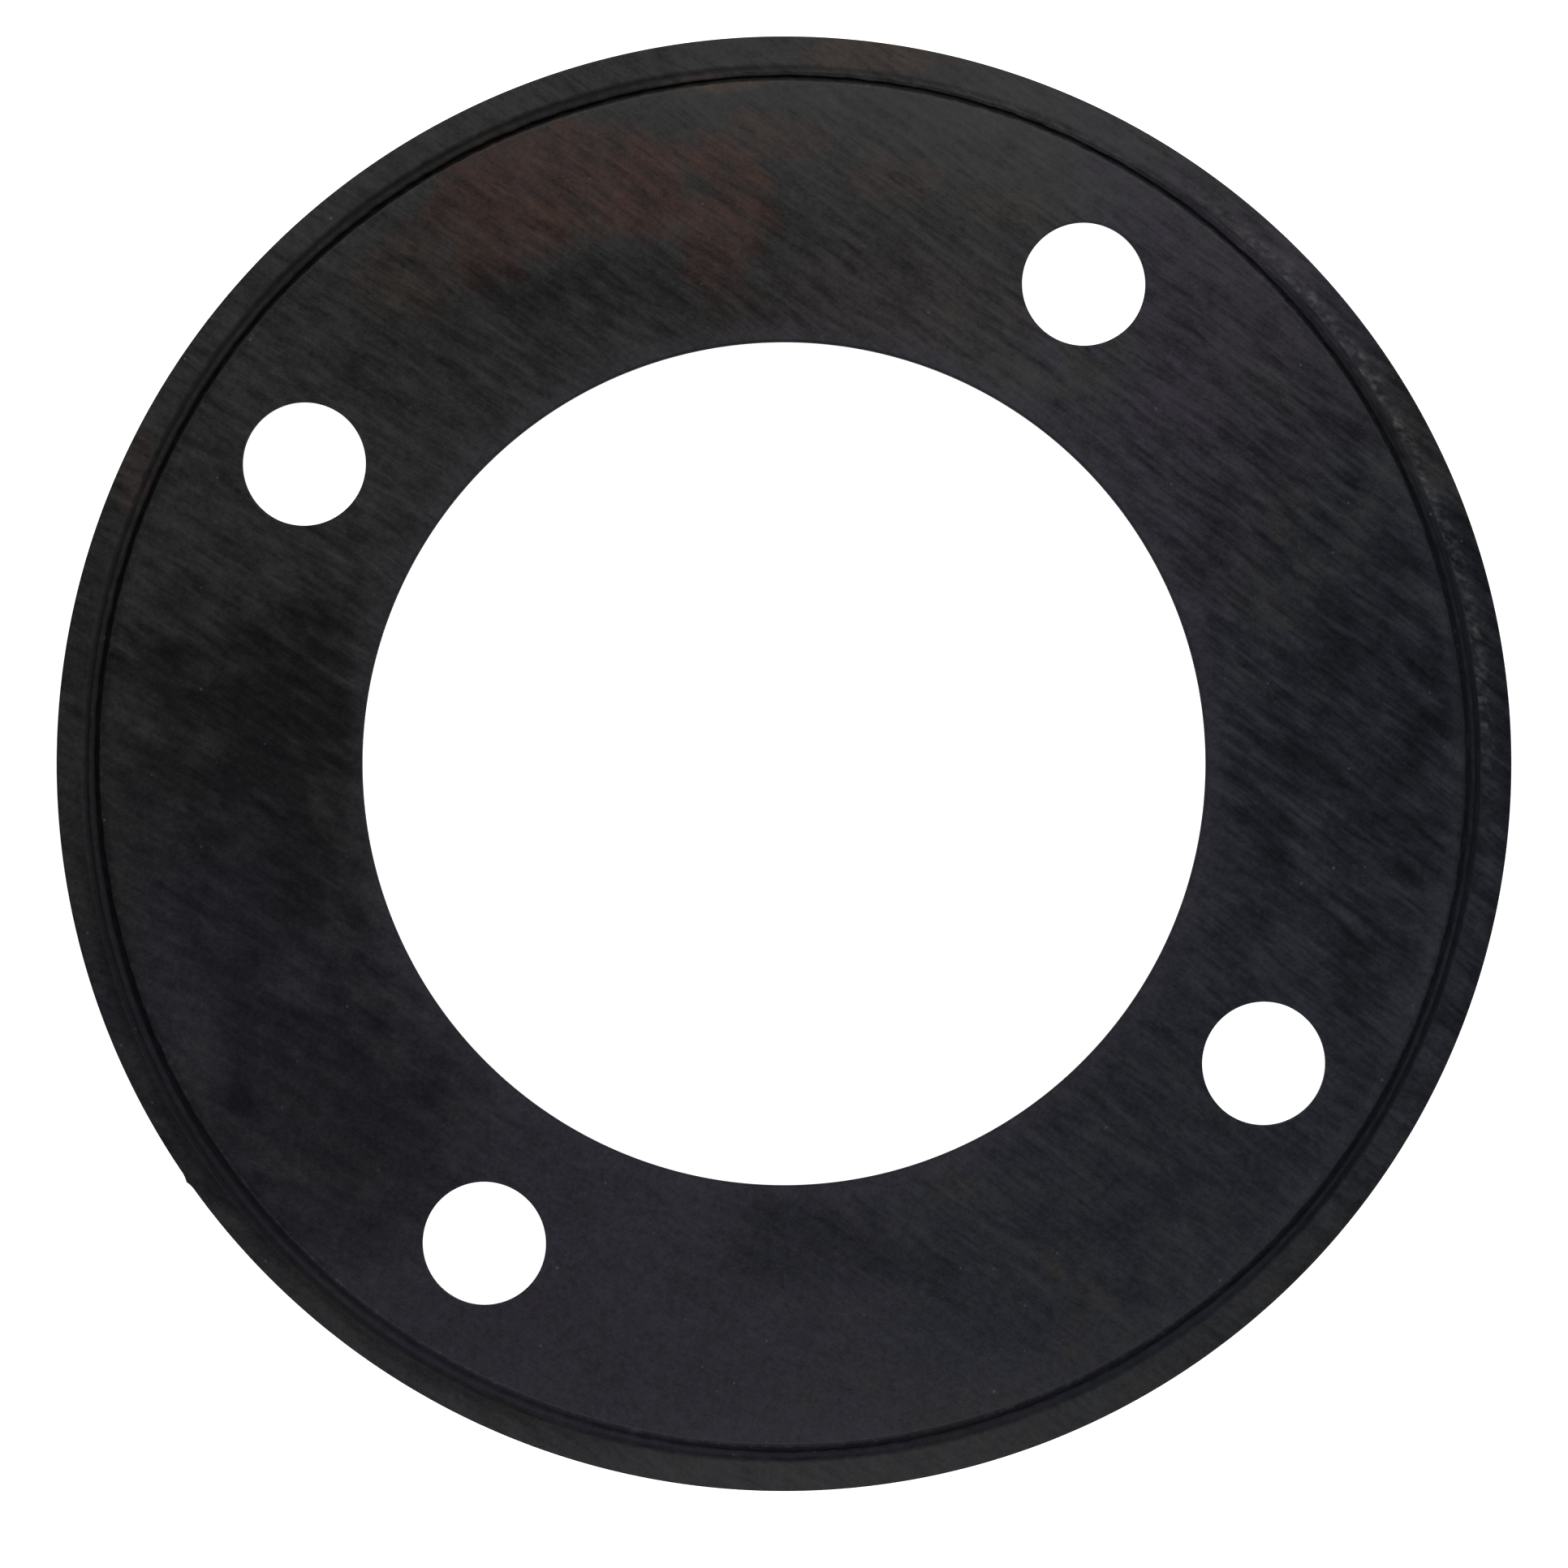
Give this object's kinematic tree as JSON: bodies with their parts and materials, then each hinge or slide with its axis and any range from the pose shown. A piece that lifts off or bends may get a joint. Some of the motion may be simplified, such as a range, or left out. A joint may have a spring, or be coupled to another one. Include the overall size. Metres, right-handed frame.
{
  "type": "rubber flange gasket",
  "caption": "Flat moulded rubber ring with a large central bore, evenly spaced bolt holes and a stepped groove inside a narrow outer rim.",
  "frame": {"origin": "centre of the bore, on the underside", "axes": "+Z along the bore axis, out of the grooved sealing face; the first bolt hole lies 58 degrees anticlockwise from +X"},
  "size_m": [0.1, 0.1, 0.003],
  "materials": {
    "black_rubber": "matt moulded black rubber, with fine straight lap marks and faint bloom"
  },
  "bodies": {
    "root": {"gasket": "black_rubber"}
  },
  "joints": []
}
